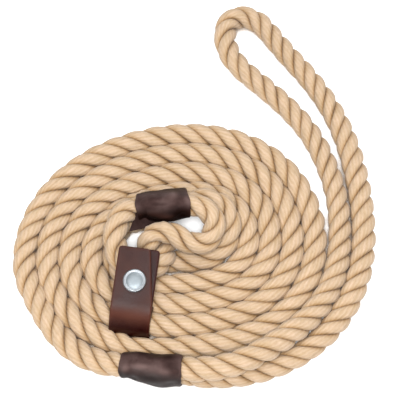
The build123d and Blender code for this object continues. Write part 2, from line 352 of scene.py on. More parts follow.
# painted shade on the floor where the rope's turns close in over it
FLOOR_GAP_SHADE_REACH = 5.5 * MM
FLOOR_TONES_AND_GAP_SHADE = [(0.0, (0.14, 0.08, 0.045)), (0.22, (0.38, 0.28, 0.19)), (0.38, (0.93, 0.93, 0.93))]
FLOOR_HALF_SIZE = 3.0
SKY_TONES = [(0.0, (0.14, 0.14, 0.14)), (0.35, (0.34, 0.34, 0.34)), (0.9, (1.05, 1.05, 1.05))]

# Name, place, the disc's diameter, power
LIGHTS = [
    ("key", (0.0, -0.35, 0.78), 0.24, 8.8),
    ("front", (-0.12, -0.42, 0.68), 0.16, 1.9),
    ("top", (0.15, 0.30, 0.80), 0.50, 2.5),
]

# ---------------------------------------------------------------- camera

CAMERA_TARGET = Vector((2.1 * MM, -3.0 * MM, 0))
CAMERA_DISTANCE = 0.700
CAMERA_ELEVATION = math.radians(64)
CAMERA_SENSOR, CAMERA_LENS = 36, 150.6

camera_data = bpy.data.cameras.new("camera")
camera_data.sensor_width = CAMERA_SENSOR
camera_data.lens = CAMERA_LENS
camera_data.clip_start = 0.05
camera = bpy.data.objects.new("camera", camera_data)
bpy.context.scene.collection.objects.link(camera)
toward_camera = Vector((0, -math.cos(CAMERA_ELEVATION), math.sin(CAMERA_ELEVATION)))
camera.location = CAMERA_TARGET + toward_camera * CAMERA_DISTANCE
camera.rotation_mode = "QUATERNION"
camera.rotation_quaternion = (-toward_camera).to_track_quat("-Z", "Y")
bpy.context.scene.camera = camera


# ---------------------------------------------------------------- small helpers

def link(name, data, body):
    """A new object with this data that rides on the named body."""
    piece = bpy.data.objects.new(name, data)
    bpy.context.scene.collection.objects.link(piece)
    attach(piece, body)
    return piece


def mesh_from(name, verts, faces, material, smooth=True):
    """A mesh from numpy vertices and a list of faces."""
    mesh = bpy.data.meshes.new(name)
    mesh.from_pydata([tuple(v) for v in verts], [], faces)
    mesh.materials.append(material)
    if smooth:
        mesh.polygons.foreach_set("use_smooth", [True] * len(mesh.polygons))
    mesh.update()
    return mesh


def set_attribute(mesh, name, values):
    """Stores one number for each vertex."""
    layer = mesh.attributes.new(name, "FLOAT", "POINT")
    layer.data.foreach_set("value", np.asarray(values, dtype=np.float32))


def smooth_step(x):
    """0 up to 0, 1 from 1, and an even curve between them."""
    x = np.clip(x, 0, 1)
    return x * x * (3 - 2 * x)


def hashed(*numbers):
    """A repeatable number from 0 to 1 for each combination of inputs."""
    total = sum(np.asarray(n, float) * k for n, k in zip(numbers, (12.9898, 78.233, 37.719)))
    return np.modf(np.abs(np.sin(total) * 43758.5453))[0]


def wave_noise(x, y, seed):
    """Smooth two-dimensional noise from -1 to 1, from a few sums of sines."""
    total = 0
    for k in range(6):
        a = hashed(seed, k, 1) * 2 * math.pi
        f = 0.6 + 1.7 * hashed(seed, k, 2)
        p = hashed(seed, k, 3) * 2 * math.pi
        total = total + np.sin(f * (x * math.cos(a) + y * math.sin(a)) * 2 * math.pi + p)
    return total / 6


# ---------------------------------------------------------------- rope centre line

def coil_point(turn):
    """Centre of the rope after this many turns of the coil, from its left end inwards."""
    angle = 2 * math.pi * turn
    uneven = sum(a * math.cos(k * angle) + b * math.sin(k * angle) for k, a, b in COIL_WAVES)
    # the outer turns bow out towards the handle loop
    for place, height in COIL_BULGES:
        uneven += height * math.exp(-(((turn - place) / COIL_BULGE_SPREAD) ** 2))
    along = -(COIL_HALF_LENGTH - COIL_PITCH * turn + uneven) * math.cos(angle) * COIL_SWELL
    across = (COIL_HALF_WIDTH - COIL_PITCH * turn + uneven) * math.sin(angle) * COIL_SWELL
    x = COIL_CENTRE[0] + along * math.cos(COIL_TILT) - across * math.sin(COIL_TILT)
    y = COIL_CENTRE[1] + along * math.sin(COIL_TILT) + across * math.cos(COIL_TILT)
    z = ROPE_RADIUS
    # the leather stop lifts its own turn a little and presses its neighbours aside
    near = float(smooth_step((STOP_PRESS_FROM - abs(x - STOP_HINGE[0])) / STOP_PRESS_FADE))
    if abs(turn - STOP_TURN) < STOP_TURN_NEAR:
        z += (STOP_HINGE[2] - ROPE_RADIUS) * near
        y += STOP_PRESS_OWN * near
    if abs(turn - STOP_TURN + 1) < STOP_TURN_NEAR:
        y += STOP_PRESS_OUTER * near
    if abs(turn - STOP_TURN - 1) < STOP_TURN_NEAR:
        y += STOP_PRESS_INNER * near
    return (x, y, z)


def in_metres(points):
    """The same points, from millimetres."""
    return [tuple(c * MM for c in p) for p in points]


coil_steps = range(COIL_TURNS * COIL_POINTS_PER_TURN + 1)
coil_points = [coil_point(i / COIL_POINTS_PER_TURN) for i in coil_steps]
inner_points = in_metres(NOOSE_POINTS) + in_metres(EYE_POINTS)
route_points = in_metres(HANDLE_POINTS) + coil_points + inner_points

route_data = bpy.data.curves.new("rope_route", "CURVE")
route_data.dimensions = "3D"
route_data.resolution_u = 16
spline = route_data.splines.new("NURBS")
spline.points.add(len(route_points) - 1)
for control, (x, y, z) in zip(spline.points, route_points):
    control.co = (x, y, z, 1)
spline.order_u = 3
spline.use_endpoint_u = True
route = bpy.data.objects.new("rope_route", route_data)
bpy.context.scene.collection.objects.link(route)
bpy.context.view_layer.update()
depsgraph = bpy.context.evaluated_depsgraph_get()
route_mesh = bpy.data.meshes.new_from_object(route.evaluated_get(depsgraph))
centre_line = np.array([v.co[:] for v in route_mesh.vertices])
bpy.data.objects.remove(route)


def resample(points, step):
    """Points at equal steps along a line."""
    steps = np.linalg.norm(np.diff(points, axis=0), axis=1)
    keep = np.concatenate([[True], steps > 1e-7])
    points = points[keep]
    along = np.concatenate([[0], np.cumsum(np.linalg.norm(np.diff(points, axis=0), axis=1))])
    count = int(along[-1] / step) + 1
    at = np.linspace(0, along[-1], count)
    return np.stack([np.interp(at, along, points[:, i]) for i in range(3)], axis=1), at


def frames(points):
    """Two steady side directions at each point of a line, without twist."""
    tangent = np.gradient(points, axis=0)
    tangent /= np.linalg.norm(tangent, axis=1)[:, None]
    side = np.zeros_like(points)
    first = np.cross(tangent[0], (0, 0, 1))
    side[0] = first / np.linalg.norm(first)
    for i in range(1, len(points)):
        v = side[i - 1] - tangent[i] * np.dot(side[i - 1], tangent[i])
        side[i] = v / np.linalg.norm(v)
    return side, np.cross(tangent, side)


rope_line, rope_along = resample(centre_line, RING_STEP)
rope_side, rope_other = frames(rope_line)


def inside_sleeve(points, sections, margin):
    """1 well inside a whipping, falling to 0 this far outside its ends."""
    first = np.array(sections[0][0]) * MM
    last = np.array(sections[-1][0]) * MM
    axis = last - first
    length = np.linalg.norm(axis)
    axis = axis / length
    along = (points - first) @ axis
    off = np.linalg.norm(points - first - along[:, None] * axis, axis=1)
    ends = smooth_step((along + margin) / margin) * smooth_step((length + margin - along) / margin)
    return ends * (off < SLEEVE_REACH)


gripped = np.maximum(
    inside_sleeve(rope_line, HANDLE_SLEEVE, SLEEVE_FADE),
    inside_sleeve(rope_line, EYE_SLEEVE, SLEEVE_FADE),
)
# the strands open a little at the handle loop's tip and in the noose's upper turn
tip = int(np.argmax(rope_line[:, 1]))
past_tip = rope_along - rope_along[tip] - TIP_SWELL_PAST
noose_left = min(NOOSE_POINTS[8:], key=lambda point: point[0])
noose_turn = int(np.argmin(np.linalg.norm(rope_line - np.array(noose_left) * MM, axis=1)))
past_noose_turn = rope_along - rope_along[noose_turn]
rope_scale = (
    1
    - SLEEVE_SQUEEZE * gripped
    + TIP_SWELL * np.exp(-((past_tip / TIP_SWELL_SPREAD) ** 2))
    + NOOSE_SWELL * np.exp(-((past_noose_turn / NOOSE_SWELL_SPREAD) ** 2))
)


# ---------------------------------------------------------------- materials

def new_material(name):
    """A material, its node tree and its principled shader."""
    material = bpy.data.materials.new(name)
    material.use_nodes = True
    tree = material.node_tree
    shader = tree.nodes["Principled BSDF"]
    return material, tree, shader


def attribute(tree, name):
    """The socket with a number stored in the mesh."""
    node = tree.nodes.new("ShaderNodeAttribute")
    node.attribute_name = name
    return node.outputs["Fac"]


def set_inputs(tree, inputs, values):
    """Feeds each input from a socket or sets it to a plain value."""
    for socket, value in zip(inputs, values):
        if isinstance(value, bpy.types.NodeSocket):
            tree.links.new(value, socket)
        else:
            socket.default_value = value


def ramp(tree, stops, factor):
    """The colour that a number picks from (position, colour) stops."""
    node = tree.nodes.new("ShaderNodeValToRGB")
    elements = node.color_ramp.elements
    while len(elements) < len(stops):
        elements.new(0.5)
    for element, (position, colour) in zip(elements, stops):
        element.position = position
        element.color = (*colour, 1)
    tree.links.new(factor, node.inputs[0])
    return node.outputs[0]


def noise(tree, vector, scale, detail, roughness):
    """A noise value from 0 to 1."""
    node = tree.nodes.new("ShaderNodeTexNoise")
    node.inputs["Scale"].default_value = scale
    node.inputs["Detail"].default_value = detail
    node.inputs["Roughness"].default_value = roughness
    tree.links.new(vector, node.inputs["Vector"])
    return node.outputs["Fac"]


def openness(tree, distance):
    """0 where other surfaces close in within this distance, 1 in the open."""
    node = tree.nodes.new("ShaderNodeAmbientOcclusion")
    node.samples = 8
    node.inputs["Distance"].default_value = distance
    return node.outputs["AO"]


def mix_colour(tree, mode, factor, a, b):
    """A colour mix; factor, a and b are sockets or plain values."""
    node = tree.nodes.new("ShaderNodeMix")
    node.data_type = "RGBA"
    node.blend_type = mode
    set_inputs(tree, (node.inputs[0], node.inputs[6], node.inputs[7]), (factor, a, b))
    return node.outputs[2]


def calculate(tree, operation, a, b):
    """A sum or product; a and b are sockets or plain values."""
    node = tree.nodes.new("ShaderNodeMath")
    node.operation = operation
    set_inputs(tree, node.inputs, (a, b))
    return node.outputs[0]


def add_bump(tree, shader, strength, distance, height):
    """Raises the shader's surface by this height pattern."""
    bump = tree.nodes.new("ShaderNodeBump")
    bump.inputs["Strength"].default_value = strength
    bump.inputs["Distance"].default_value = distance
    tree.links.new(height, bump.inputs["Height"])
    tree.links.new(bump.outputs["Normal"], shader.inputs["Normal"])


def rope_material():
    """Natural fibre, streaked along its yarns, with painted shade in its grooves, crevices and yarn
    valleys.
    """
    material, tree, shader = new_material("rope_fibre")
    yarn = tree.nodes.new("ShaderNodeCombineXYZ")
    places = [attribute(tree, name) for name in ("yarn_across", "yarn_along", "strand")]
    set_inputs(tree, yarn.inputs, places)
    fine = noise(tree, yarn.outputs[0], 5.0, 5, 0.62)
    broad = noise(tree, yarn.outputs[0], 1.1, 3, 0.5)
    # painted shade: darker towards the grooves between the strands
    colour = ramp(tree, ROPE_TONES_AND_GROOVE_SHADE, attribute(tree, "depth"))
    for stops, factor in (
        (FIBRE_STREAKS, fine),
        (FIBRE_PATCHES, broad),
        # painted shade in the crevices between turns and strands
        (CREVICE_SHADE_TONES, openness(tree, CREVICE_SHADE_REACH)),
    ):
        colour = mix_colour(tree, "MULTIPLY", 1.0, colour, ramp(tree, stops, factor))
    # painted shade darkens the valleys between the yarns
    valley = attribute(tree, "yarn_valley")
    colour = mix_colour(tree, "MULTIPLY", valley, colour, (*YARN_VALLEY_SHADE, 1))
    tree.links.new(colour, shader.inputs["Base Color"])
    for name, value in ROPE_FINISH.items():
        shader.inputs[name].default_value = value
    add_bump(tree, shader, 0.55, 0.25 * MM, fine)
    return material


def leather_material(name, tones, shade, roughness, specular):
    """Grained leather, lighter where it is worn and where a highlight is painted, and darker with
    painted shade.
    """
    material, tree, shader = new_material(name)
    position = tree.nodes.new("ShaderNodeTexCoord").outputs["Object"]
    broad = noise(tree, position, 120, 4, 0.6)
    colour = ramp(tree, list(zip(LEATHER_TONE_STOPS, tones)), broad)
    # lighter with wear and where a highlight is painted
    wear_and_highlight = calculate(tree, "MULTIPLY", attribute(tree, "wear_and_highlight"), 0.6)
    colour = mix_colour(tree, "MIX", wear_and_highlight, colour, (*[c * 2 for c in tones[-1]], 1))
    # painted shade darkens the leather by the shade mask
    colour = mix_colour(tree, "MULTIPLY", attribute(tree, "painted_shade"), colour, (*shade, 1))
    tree.links.new(colour, shader.inputs["Base Color"])
    dull = calculate(tree, "MULTIPLY", broad, 0.25)
    dull = calculate(tree, "ADD", dull, roughness - 0.12)
    tree.links.new(dull, shader.inputs["Roughness"])
    shader.inputs["Specular IOR Level"].default_value = specular
    grain = tree.nodes.new("ShaderNodeTexVoronoi")
    grain.inputs["Scale"].default_value = LEATHER_GRAIN_SCALE
    grain.feature = "DISTANCE_TO_EDGE"
    tree.links.new(position, grain.inputs["Vector"])
    creases = calculate(tree, "MULTIPLY", grain.outputs["Distance"], 1.2)
    pores = noise(tree, position, LEATHER_PORE_SCALE, 3, 0.6)
    pores = calculate(tree, "MULTIPLY", pores, 0.5)
    add_bump(tree, shader, 0.35, 0.12 * MM, calculate(tree, "ADD", creases, pores))
    return material


def metal_material():
    """Plated metal with a faint haze, and a painted highlight that brightens its rim."""
    material, tree, shader = new_material("rivet_metal")
    position = tree.nodes.new("ShaderNodeTexCoord").outputs["Object"]
    haze = noise(tree, position, 700, 4, 0.6)
    plate = ramp(tree, PLATE_TONES, haze)
    # painted highlight: the rim is brighter all round
    plate = mix_colour(tree, "MIX", attribute(tree, "rim"), plate, (*PLATE_RIM_HIGHLIGHT, 1))
    tree.links.new(plate, shader.inputs["Base Color"])
    shader.inputs["Metallic"].default_value = 1.0
    dull = calculate(tree, "ADD", calculate(tree, "MULTIPLY", haze, 0.2), 0.30)
    tree.links.new(dull, shader.inputs["Roughness"])
    return material


rope_look = rope_material()
sleeve_look = leather_material("whipping_leather", **WHIPPING_LEATHER)
strap_look = leather_material("strap_leather", **STRAP_LEATHER)
metal_look = metal_material()


# ---------------------------------------------------------------- rope strands

def along_between(stretch, fade):
    """1 on this stretch of the rope, falling to 0 at its ends."""
    start, end = stretch
    return smooth_step((rope_along - start) / fade) * smooth_step((end - rope_along) / fade)


def strand_mesh():
    """The rope's three strands, laid right-handed round its centre line, a ridge for each yarn."""
    around = YARNS * VERTS_PER_YARN
    rings = len(rope_line)
    # the rope is laid a little tighter round the handle loop than in the coil
    in_coil = smooth_step((rope_along - HANDLE_LENGTH) / HANDLE_LAY_FADE)
    lay = HANDLE_LAY + (ROPE_LAY - HANDLE_LAY) * in_coil
    turns = 2 * math.pi / lay[:-1] * np.diff(rope_along)
    twist = np.concatenate([[0], np.cumsum(turns)])[:, None]
    # the yarns turn the other way round their strand, so on its outside they run along the rope
    yarn_twist = twist * ROPE_RADIUS / STRAND_ALONG
    s = rope_along[:, None]
    # ropes that lie side by side press each other's fibres into the gaps between them
    pressed = along_between(SQUASH_RANGE, SQUASH_FADE)
    pressed = pressed * (1 - along_between(SQUASH_GAP, SQUASH_GAP_FADE))
    widen = np.array([1, 1, 0]) * (SQUASH * pressed)[:, None] + 1
    scale = rope_scale[:, None]
    ring = np.arange(around)[None, :]
    phi = 2 * math.pi * ring / around - yarn_twist
    cos_phi, sin_phi = np.cos(phi), np.sin(phi)
    power = 2 / STRAND_FULLNESS
    yarn_wave = np.cos(2 * math.pi * ring / VERTS_PER_YARN)
    ridge = YARN_DEPTH * (yarn_wave - 1) / 2
    verts, faces, surfaces = [], [], []
    stored = {name: [] for name in ("depth", "yarn_across", "yarn_along", "strand", "yarn_valley")}
    for strand in range(STRANDS):
        wander = STRAND_WANDER * np.sin(2 * math.pi * s / STRAND_WANDER_EVERY + strand * 2.1)
        phase = twist + 2 * math.pi * strand / STRANDS + wander
        loose_wave = np.sin(2 * math.pi * s / STRAND_LOOSENESS_EVERY + strand * 4.2 + 0.7)
        loose = 1 + STRAND_LOOSENESS * loose_wave
        x = STRAND_OFFSET + (STRAND_ACROSS + ridge) * np.sign(cos_phi) * np.abs(cos_phi) ** power
        y = (STRAND_ALONG * loose + ridge) * np.sign(sin_phi) * np.abs(sin_phi) ** power
        x, y = x * scale, y * scale
        radius = np.hypot(x, y)
        u = x * np.cos(phase) - y * np.sin(phase)
        v = x * np.sin(phase) + y * np.cos(phase)
        offset = u[..., None] * rope_side[:, None, :] + v[..., None] * rope_other[:, None, :]
        points = rope_line[:, None, :] + offset * widen[:, None, :]
        surfaces.append(points)
        base = strand * (rings * around + 2)
        verts += [points.reshape(-1, 3), rope_line[[0, -1]]]
        i = np.arange(rings - 1)[:, None] * around
        j = np.arange(around)[None, :]
        k = (j + 1) % around
        quads = np.stack([i + j, i + k, i + around + k, i + around + j], axis=-1)
        faces += (quads.reshape(-1, 4) + base).tolist()
        first, last = base + rings * around, base + rings * around + 1
        end = base + (rings - 1) * around
        faces += [(first, base + (n + 1) % around, base + n) for n in range(around)]
        faces += [(last, end + n, end + (n + 1) % around) for n in range(around)]
        outwards = (radius / scale / ROPE_RADIUS - DEPTH_FROM) / (1 - DEPTH_FROM)
        values = {
            "depth": np.clip(outwards, 0, 1),
            "yarn_across": ring / VERTS_PER_YARN,
            "yarn_along": s / YARN_GRAIN_LENGTH,
            "strand": 3.7 * strand,
            "yarn_valley": (1 - yarn_wave) / 2,
        }
        for name, value in values.items():
            stored[name] += [np.broadcast_to(value, radius.shape).reshape(-1), np.zeros(2)]
    mesh = mesh_from("rope", np.concatenate(verts), faces, rope_look)
    for name, value in stored.items():
        set_attribute(mesh, name, np.concatenate(value))
    return mesh, surfaces


def fibre_mesh(surfaces):
    """Fine loose fibres that lie along the yarns and lift off the strands' outer side."""
    random = np.random.default_rng(11)
    rows, columns = surfaces[0].shape[:2]
    pick = random.integers(0, len(surfaces), FIBRE_TRIES)
    i = random.integers(FIBRE_END_MARGIN, rows - FIBRE_END_MARGIN, FIBRE_TRIES)
    j = random.integers(0, columns, FIBRE_TRIES)
    stacked = np.stack(surfaces)
    root = stacked[pick, i, j]
    outward = root - rope_line[i]
    radius = np.linalg.norm(outward, axis=1)
    # only where the strand shows: on its outer side, outside the whippings and not under the rope
    outside = radius > FIBRE_OUTSIDE * ROPE_RADIUS
    outside = outside & (outward[:, 2] > FIBRE_UNDERSIDE * radius)
    keep = np.flatnonzero(outside & (gripped[i] < 0.05))[:FIBRES]
    pick, i, j, root = pick[keep], i[keep], j[keep], root[keep]
    outward = outward[keep] / radius[keep][:, None]
    way = random.choice([-1, 1], len(keep))[:, None]
    ahead, behind = i + FIBRE_DIRECTION_STEPS, i - FIBRE_DIRECTION_STEPS
    along = way * (stacked[pick, ahead, j] - stacked[pick, behind, j])
    along /= np.linalg.norm(along, axis=1)[:, None]
    sideways = np.cross(along, outward)
    length = random.uniform(*FIBRE_LENGTHS, len(keep))[:, None, None]
    lift = FIBRE_LIFT * random.uniform(0, 1, len(keep))[:, None, None] ** 2
    sway = FIBRE_SWAY * random.uniform(-1, 1, len(keep))[:, None, None]
    t = np.linspace(0, 1, FIBRE_RINGS)[None, :, None]
    # it starts under the surface, lifts off it, and follows the rope round
    rise = lift * t**1.5 - FIBRE_ROOT - (length * t) ** 2 / (9 * ROPE_RADIUS)
    line = (
        root[:, None, :]
        + along[:, None, :] * length * t
        + outward[:, None, :] * rise
        + sideways[:, None, :] * sway * t**2
    )
    line[..., 2] = np.maximum(line[..., 2], FIBRE_FLOOR_GAP)
    thin = FIBRE_THICKNESS / 2 * (1 - FIBRE_TAPER * t[..., None])
    corners = 2 * math.pi * np.arange(FIBRE_SIDES)[None, None, :, None] / FIBRE_SIDES
    round_it = (
        np.cos(corners) * outward[:, None, None, :] + np.sin(corners) * sideways[:, None, None, :]
    )
    verts = line[:, :, None, :] + thin * round_it
    base = np.arange(len(keep))[:, None] * FIBRE_RINGS * FIBRE_SIDES
    a = np.arange((FIBRE_RINGS - 1) * FIBRE_SIDES)[None, :]
    b = a // FIBRE_SIDES * FIBRE_SIDES + (a + 1) % FIBRE_SIDES
    corners_of_quad = (a, b, b + FIBRE_SIDES, a + FIBRE_SIDES)
    quads = np.stack([base + corner for corner in corners_of_quad], axis=-1)
    faces = quads.reshape(-1, 4).tolist()
    start_cap = np.arange(FIBRE_SIDES)[None, ::-1]
    end_cap = np.arange(FIBRE_SIDES)[None, :] + (FIBRE_RINGS - 1) * FIBRE_SIDES
    faces += (base + start_cap).tolist() + (base + end_cap).tolist()
    mesh = mesh_from("rope_fibres", verts.reshape(-1, 3), faces, rope_look)
    set_attribute(mesh, "depth", np.full(len(mesh.vertices), FIBRE_DEPTH))
    return mesh


rope_mesh, strand_surfaces = strand_mesh()
rope = link("rope", rope_mesh, "lead")
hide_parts("rope_handle_loop", "rope_coil", "rope_noose", "rope_eye")
fibres = link("rope_fibres", fibre_mesh(strand_surfaces), "lead")


# ---------------------------------------------------------------- leather whippings

def smooth_rows(rows, t):
    """Catmull-Rom through rows of numbers at t from 0 to 1."""
    count = len(rows) - 1
    padded = np.vstack([2 * rows[0] - rows[1], rows, 2 * rows[-1] - rows[-2]])
    at = np.clip(t * count, 0, count - 1e-9)
    i = at.astype(int)
    f = (at - i)[:, None]
    p0, p1, p2, p3 = padded[i], padded[i + 1], padded[i + 2], padded[i + 3]
    square = 2 * p0 - 5 * p1 + 4 * p2 - p3
    cube = 3 * p1 - p0 - 3 * p2 + p3
    return 0.5 * (2 * p1 + (p2 - p0) * f + square * f**2 + cube * f**3)


def sleeve(name, sections, stack, seed, crumples, seam_angle):
    """A strip of thin leather wound round the ropes: crumpled, with one overlapping edge."""
    rows, columns = SLEEVE_ROWS, SLEEVE_COLUMNS
    centres = np.array([c for c, _, _ in sections]) * MM
    sizes = np.array([(a, b) for _, a, b in sections]) * MM
    stack = np.array(stack, float)
    t = np.linspace(0, 1, rows)
    centre = smooth_rows(centres, t)
    size = smooth_rows(sizes, t)
    axis = np.gradient(centre, axis=0)
    axis /= np.linalg.norm(axis, axis=1)[:, None]
    long_side = stack - axis * (axis @ stack)[:, None]
    long_side /= np.linalg.norm(long_side, axis=1)[:, None]
    short_side = np.cross(axis, long_side)
    angle = np.linspace(0, 2 * math.pi, columns, endpoint=False)
    T, A = np.meshgrid(t, angle, indexing="ij")
    length = np.linalg.norm(centres[-1] - centres[0])
    cos_a, sin_a = np.cos(A), np.sin(A)
    # how far the leather stands out: small creases, the crumples, and the wrap's overlapping edge
    creases = 0.6 * wave_noise(T * 1.3, 0.6 * sin_a, seed)
    creases = creases + 0.4 * wave_noise(T * 2.2, 0.9 * cos_a, seed + 7)
    out = SLEEVE_CREASE * creases
    for place, degrees, spread, fan, height in crumples:
        off = np.mod(A - math.radians(degrees) + math.pi, 2 * math.pi) - math.pi
        along, across = (T - place) / spread, off / math.radians(fan)
        out = out + height * MM * np.exp(-(along**2) - across**2)
    from_seam = np.mod(A - seam_angle - SEAM_SWAY * np.sin(3 * T), 2 * math.pi)
    out = out + SEAM_STEP * np.exp(-from_seam / SEAM_FADE) * (from_seam < SEAM_END)
    # rounded, slightly uneven ends
    ends = np.minimum(T, 1 - T) * length / SLEEVE_END_ROUND
    rounding = np.where(ends < 1, 1 - np.sqrt(np.clip(1 - (1 - ends) ** 2, 0, 1)), 0)
    edge_wave = SLEEVE_EDGE_WAVE * wave_noise(0.6 * cos_a, 0.6 * sin_a, seed + 11)
    shift = edge_wave * (T * 2 - 1) ** 5
    squarish_cos = np.sign(cos_a) * np.abs(cos_a) ** SLEEVE_CORNER_POWER
    squarish_sin = np.sign(sin_a) * np.abs(sin_a) ** SLEEVE_CORNER_POWER
    layers = []
    for inset in (0, 1):
        taken = inset * SLEEVE_WALL + (1 - inset) * rounding * 0.5 * SLEEVE_WALL
        a = size[:, 0][:, None] + out - taken
        b = size[:, 1][:, None] + out - taken
        p = (
            centre[:, None, :]
            + (a * squarish_cos)[..., None] * long_side[:, None, :]
            + (b * squarish_sin)[..., None] * short_side[:, None, :]
            + shift[..., None] * axis[:, None, :]
        )
        p[..., 2] = np.maximum(p[..., 2], SLEEVE_FLOOR_GAP)
        layers.append(p)
    outer, inner = layers
    verts = np.concatenate([outer.reshape(-1, 3), inner.reshape(-1, 3)])
    n = rows * columns
    i = np.arange(rows - 1)[:, None] * columns
    j = np.arange(columns)[None, :]
    k = (j + 1) % columns
    quads = np.stack([i + j, i + columns + j, i + columns + k, i + k], axis=-1).reshape(-1, 4)
    faces = quads.tolist() + (quads[:, ::-1] + n).tolist()
    last = (rows - 1) * columns
    for c in range(columns):
        d = (c + 1) % columns
        faces.append((c, d, d + n, c + n))
        faces.append((last + c, last + c + n, last + d + n, last + d))
    mesh = mesh_from(name, verts, faces, sleeve_look)
    # lighter with wear at the ends and along the creases, and a painted highlight on the crests of
    # the crumples
    wear_and_highlight = np.clip(creases * 0.8 + 0.1, 0, 1) * 0.5
    wear_and_highlight = wear_and_highlight + np.exp(-ends / 1.5) * 0.4 + smooth_step(out / MM - 0.1) * 0.8
    set_attribute(mesh, "wear_and_highlight", np.concatenate([wear_and_highlight.reshape(-1), np.zeros(n)]))
    # painted shade darkens the leather in its dents, low on its front and high on its back
    low = (outer - centre[:, None, :]) @ np.array(SHADED_FRONT)
    in_front = smooth_step((low + 0.8 * MM) / (4.2 * MM))
    in_dents = smooth_step((-out - 0.3 * MM) / (0.8 * MM))
    on_back = 0.7 * smooth_step((-low - 4 * MM) / (2.5 * MM))
    painted_shade = np.maximum(np.maximum(in_front, in_dents), on_back)
    set_attribute(mesh, "painted_shade", np.concatenate([painted_shade.reshape(-1), np.ones(n)]))
    return link(name, mesh, "lead")


handle_whipping = sleeve(
    "handle_whipping_leather",
    HANDLE_SLEEVE,
    HANDLE_STACK,
    2,
    HANDLE_CRUMPLES,
    math.radians(200),
)
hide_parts("handle_whipping")
eye_whipping = sleeve(
    "eye_whipping_leather",
    EYE_SLEEVE,
    EYE_STACK,
    5,
    EYE_CRUMPLES,
    math.radians(230),
)
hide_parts("eye_whipping")


def whipping_tail():
    """The loose end of the eye whipping's wrap: a thin crumpled flap that hangs over the ropes,
    darkened all over by painted shade.
    """
    rows, columns = TAIL_ROWS, TAIL_COLUMNS
    corner = Vector(TAIL_CORNER) * MM
    facing = Vector(TAIL_FACING).normalized()
    across = Vector((1, 0, 0))
    up_flap = facing.cross(across)
    lower = np.array(TAIL_LOWER_EDGE, float)
    verts, wear_and_highlight = [], []
    for side in (0.5, -0.5):
        for i in range(rows):
            f = i / (rows - 1)
            for j in range(columns):
                g = j / (columns - 1)
                x_low = lower[0, 0] + (lower[-1, 0] - lower[0, 0]) * g
                y_low = np.interp(x_low, lower[:, 0], lower[:, 1])
                x = TAIL_WIDTH * g * (1 - f) + x_low * f
                y = TAIL_TOP * (1 - f) + y_low * f
                ripple = sum(h * wave_noise(x / w, y / w, seed) for h, w, seed in TAIL_RIPPLES)
                # thinner at the flap's sides and at its lower edge
                thick = side * TAIL_THICKNESS * math.sqrt(max(0, 1 - (2 * g - 1) ** 8))
                out = thick * (1 - 0.5 * f**6) + ripple * (0.3 + 0.7 * f)
                verts.append(corner + (across * x + up_flap * y + facing * out) * MM)
                wear_and_highlight.append(0.3 * f**8)
    n = rows * columns
    faces = []
    for i in range(rows - 1):
        for j in range(columns - 1):
            v = i * columns + j
            q = (v, v + 1, v + columns + 1, v + columns)
            faces += [q[::-1], tuple(v + n for v in q)]
    rim = [(0, j) for j in range(columns)] + [(i, columns - 1) for i in range(1, rows)]
    rim += [(rows - 1, j) for j in range(columns - 2, -1, -1)]
    rim += [(i, 0) for i in range(rows - 2, 0, -1)]
    rim = [i * columns + j for i, j in rim]
    for a, b in zip(rim, rim[1:] + rim[:1]):
        faces.append((a, b, b + n, a + n))
    mesh = mesh_from("eye_whipping_tail", [tuple(v) for v in verts], faces, sleeve_look)
    set_attribute(mesh, "wear_and_highlight", wear_and_highlight)
    # painted shade over the whole flap
    set_attribute(mesh, "painted_shade", np.full(len(verts), TAIL_SHADE))
    return mesh


tail = link("eye_whipping_tail", whipping_tail(), "lead")


# ---------------------------------------------------------------- leather stop

along_rope = Vector((math.cos(STOP_ANGLE), math.sin(STOP_ANGLE), 0))
toward_middle = Vector((-math.sin(STOP_ANGLE), math.cos(STOP_ANGLE), 0))
up = Vector((0, 0, 1))
hinge = Vector(STOP_HINGE)


def strap_path():
    """Middle of the strap's thickness in profile, from the front layer's end to the back's."""
    foot = np.array([math.cos(STRAP_FOOT_SLOPE), math.sin(STRAP_FOOT_SLOPE)])
    tab = np.array([math.cos(STRAP_TAB_SLOPE), math.sin(STRAP_TAB_SLOPE)])
    turned = STRAP_FOOT_SLOPE - STRAP_TAB_SLOPE

    def layer(depth):
        """Points of one layer this far under the upper face: its foot, its bend and its end."""
        reach = RING_OUTER - depth
        mitre = depth * math.tan(turned / 2)
        start = reach * np.array([-foot[1], foot[0]])
        bend = start + foot * (STRAP_FOOT - mitre)
        end = bend + tab * (STRAP_TAB - mitre)
        radius = STRAP_BEND - depth
        centre = bend - foot * radius * math.tan(turned / 2)
        centre = centre + np.array([foot[1], -foot[0]]) * radius
        slopes = np.linspace(STRAP_FOOT_SLOPE, STRAP_TAB_SLOPE, 17)
        arc = [centre + radius * np.array([-math.sin(a), math.cos(a)]) for a in slopes]
        return [start] + arc + [end]

    front = layer(LEATHER / 2)[::-1]
    # round the rope from the foot, underneath, and up to the back of the front layer
    reach = RING_INNER + LEATHER / 2
    first = math.pi / 2 + STRAP_FOOT_SLOPE
    ring = [
        reach * np.array([math.cos(a), math.sin(a)])
        for a in np.linspace(first, first + STRAP_RING_ARC, 60)[1:]
    ]
    back = layer(LEATHER * 1.5)[1:]
    return np.array(front + ring + back)


def strap_outline():
    """The strap's rounded cross-section: (across its width, through its thickness) points."""
    half, corner = STRAP_WIDTH / 2, STRAP_CORNER
    across, through = half - corner, LEATHER / 2 - corner
    quarter = np.linspace(0, math.pi / 2, 5)[1:-1]
    outline = []
    for side in (1, -1):
        outline += [(x * side, side * LEATHER / 2) for x in np.linspace(-across, across, 26)]
        for a in quarter:
            x, y = across + corner * math.sin(a), through + corner * math.cos(a)
            outline.append((side * x, side * y))
        outline += [(side * half, side * y) for y in np.linspace(through, -through, 4)]
        for a in quarter:
            x, y = across + corner * math.cos(a), through + corner * math.sin(a)
            outline.append((side * x, -side * y))
    return outline


